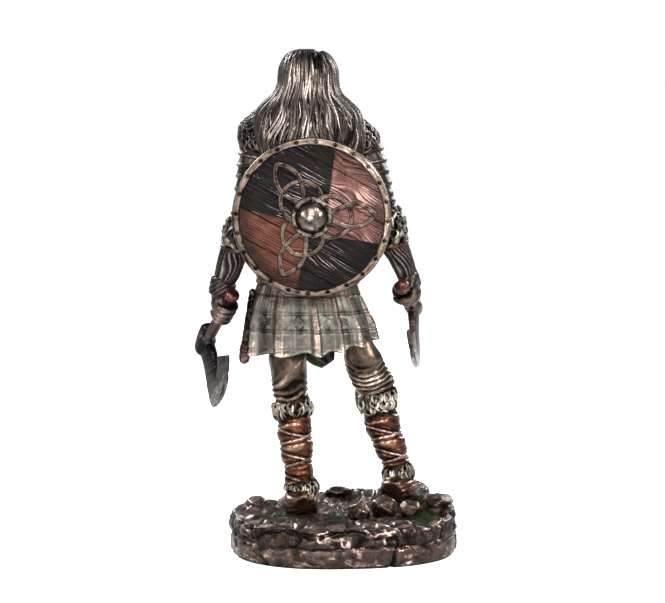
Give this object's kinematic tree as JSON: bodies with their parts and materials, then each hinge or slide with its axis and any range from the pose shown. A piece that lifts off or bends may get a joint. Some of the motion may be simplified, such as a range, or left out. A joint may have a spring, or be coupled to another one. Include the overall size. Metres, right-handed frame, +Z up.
{
  "type": "viking warrior statue",
  "caption": "Bronze-finish statuette of a long-haired viking warrior, a round shield on the back and an axe in each hand, standing on a low rock base.",
  "frame": {"origin": "centre of the flat underside of the rock base", "axes": "+Z up, -Y the way the figure faces, +X towards the figure's left hand"},
  "size_m": [0.1225, 0.094, 0.2306],
  "materials": {
    "bronze_cast": "dark patina, dry-brushed bronze",
    "shield_cast": "dark patina with copper and black quarters",
    "axe_cast": "dark patina, rubbed grey edges",
    "rock_cast": "bronze-brown rock with green moss"
  },
  "bodies": {
    "root": {"figure": "bronze_cast", "shield": "shield_cast", "left_axe": "axe_cast", "right_axe": "axe_cast", "rock_base": "rock_cast"}
  },
  "joints": []
}
